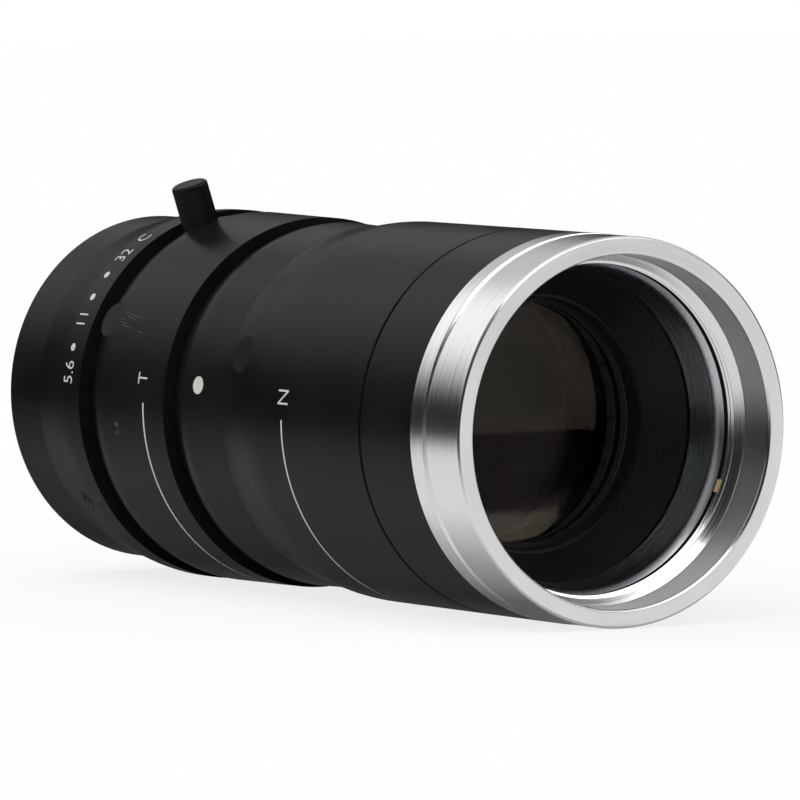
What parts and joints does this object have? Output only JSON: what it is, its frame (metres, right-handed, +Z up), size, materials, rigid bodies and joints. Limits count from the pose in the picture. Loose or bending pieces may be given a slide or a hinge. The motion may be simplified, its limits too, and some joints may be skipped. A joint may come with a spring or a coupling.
{
  "type": "c-mount machine vision lens",
  "caption": "Macro zoom lens for a C-mount camera, with iris, zoom and focus rings, a zoom lock screw and a deep front recess with a filter thread.",
  "frame": {"origin": "centre of the C-mount flange face, on the optical axis", "axes": "+X along the optical axis towards the front glass, +Z up on the lock screw's side, +Y to the left seen from the camera"},
  "size_m": [0.1355, 0.057, 0.0619],
  "materials": {
    "black_anodised": "satin black anodised",
    "bare_aluminium": "turned, satin, clear",
    "matt_black": "matt black",
    "coated_glass": "polished, multi-coated",
    "black_steel": "blackened",
    "blade_steel": "blued spring steel",
    "brass": "turned"
  },
  "bodies": {
    "barrel": {"c_mount_ring": "black_anodised", "mount_screws": "black_steel", "rear_housing": "black_anodised", "housing_screws": "black_steel", "relay_rear_cell": "matt_black", "relay_rear_ring": "matt_black", "relay_lens_1": "coated_glass", "relay_spacer": "matt_black", "relay_lens_2": "coated_glass", "relay_front_cell": "matt_black", "relay_lens_3": "coated_glass", "relay_front_ring": "matt_black", "iris_base": "matt_black", "main_barrel": "black_anodised", "guide_barrel": "matt_black", "guide_screws": "black_steel", "guide_ring": "matt_black", "name_ring": "black_anodised", "front_ring": "bare_aluminium"},
    "iris": {"iris_ring": "black_anodised", "iris_drive_screw": "black_steel", "iris_cam_ring": "matt_black"},
    "zoom": {"zoom_ring": "black_anodised", "zoom_drive_screw": "black_steel", "zoom_ring_plug": "black_anodised", "lock_tip": "brass", "cam_barrel": "matt_black"},
    "lock_screw": {"zoom_lock_screw": "black_anodised"},
    "variator": {"variator_cell": "matt_black", "variator_lens_1": "coated_glass", "variator_spacer": "matt_black", "variator_lens_2": "coated_glass", "variator_ring": "matt_black", "variator_pins": "brass"},
    "compensator": {"compensator_cell": "matt_black", "compensator_lens": "coated_glass", "compensator_ring": "matt_black", "compensator_pins": "brass"},
    "focus": {"focus_ring": "black_anodised", "focus_ring_plug": "black_anodised"},
    "front_group": {"front_cell": "matt_black", "front_lock_ring": "matt_black", "front_lens_1": "coated_glass", "front_spacer": "matt_black", "front_lens_2": "coated_glass", "focus_pins": "brass"},
    "blade_1": {"iris_blade_1": "blade_steel"},
    "blade_2": {"iris_blade_2": "blade_steel"},
    "blade_3": {"iris_blade_3": "blade_steel"},
    "blade_4": {"iris_blade_4": "blade_steel"},
    "blade_5": {"iris_blade_5": "blade_steel"},
    "blade_6": {"iris_blade_6": "blade_steel"}
  },
  "joints": [
    {"name": "iris_turn", "type": "hinge", "parent": "barrel", "child": "iris", "pos_m": [0.01903, 0, 0], "axis": [1, 0, 0], "range_deg": [0, 50.6]},
    {"name": "zoom_turn", "type": "hinge", "parent": "barrel", "child": "zoom", "pos_m": [0.04995, 0, 0], "axis": [1, 0, 0], "range_deg": [-100, 0]},
    {"name": "focus_turn", "type": "hinge", "parent": "barrel", "child": "focus", "pos_m": [0.10005, 0, 0], "axis": [1, 0, 0], "range_deg": [-110, 0]},
    {"name": "variator_slide", "type": "slide", "parent": "barrel", "child": "variator", "axis": [1, 0, 0], "range_m": [0, 0.024]},
    {"name": "compensator_slide", "type": "slide", "parent": "barrel", "child": "compensator", "axis": [1, 0, 0], "range_m": [0, 0.005]},
    {"name": "front_slide", "type": "slide", "parent": "barrel", "child": "front_group", "axis": [1, 0, 0], "range_m": [-0.006, 0]},
    {"name": "lock_turn", "type": "hinge", "parent": "zoom", "child": "lock_screw", "pos_m": [0.029, -0.00952, 0.02845], "axis": [0, -0.3173, 0.9483], "range_deg": [0, 360]},
    {"name": "blade_swing_1", "type": "hinge", "parent": "barrel", "child": "blade_1", "pos_m": [0.01505, 0, 0.015], "axis": [1, 0, 0], "range_deg": [0, 29.6]},
    {"name": "blade_swing_2", "type": "hinge", "parent": "barrel", "child": "blade_2", "pos_m": [0.01505, -0.01299, 0.0075], "axis": [1, 0, 0], "range_deg": [0, 29.6]},
    {"name": "blade_swing_3", "type": "hinge", "parent": "barrel", "child": "blade_3", "pos_m": [0.01505, -0.01299, -0.0075], "axis": [1, 0, 0], "range_deg": [0, 29.6]},
    {"name": "blade_swing_4", "type": "hinge", "parent": "barrel", "child": "blade_4", "pos_m": [0.01505, 0, -0.015], "axis": [1, 0, 0], "range_deg": [0, 29.6]},
    {"name": "blade_swing_5", "type": "hinge", "parent": "barrel", "child": "blade_5", "pos_m": [0.01505, 0.01299, -0.0075], "axis": [1, 0, 0], "range_deg": [0, 29.6]},
    {"name": "blade_swing_6", "type": "hinge", "parent": "barrel", "child": "blade_6", "pos_m": [0.01505, 0.01299, 0.0075], "axis": [1, 0, 0], "range_deg": [0, 29.6]}
  ],
  "couplings": [
    {"joint": "blade_swing_1", "follows": "iris_turn", "ratio": 0.58498},
    {"joint": "blade_swing_2", "follows": "iris_turn", "ratio": 0.58498},
    {"joint": "blade_swing_3", "follows": "iris_turn", "ratio": 0.58498},
    {"joint": "blade_swing_4", "follows": "iris_turn", "ratio": 0.58498},
    {"joint": "blade_swing_5", "follows": "iris_turn", "ratio": 0.58498},
    {"joint": "blade_swing_6", "follows": "iris_turn", "ratio": 0.58498},
    {"joint": "variator_slide", "follows": "zoom_turn", "m_per_rad": -0.013751},
    {"joint": "compensator_slide", "follows": "zoom_turn", "m_per_rad": -0.0028648},
    {"joint": "front_slide", "follows": "focus_turn", "m_per_rad": 0.0031252}
  ]
}
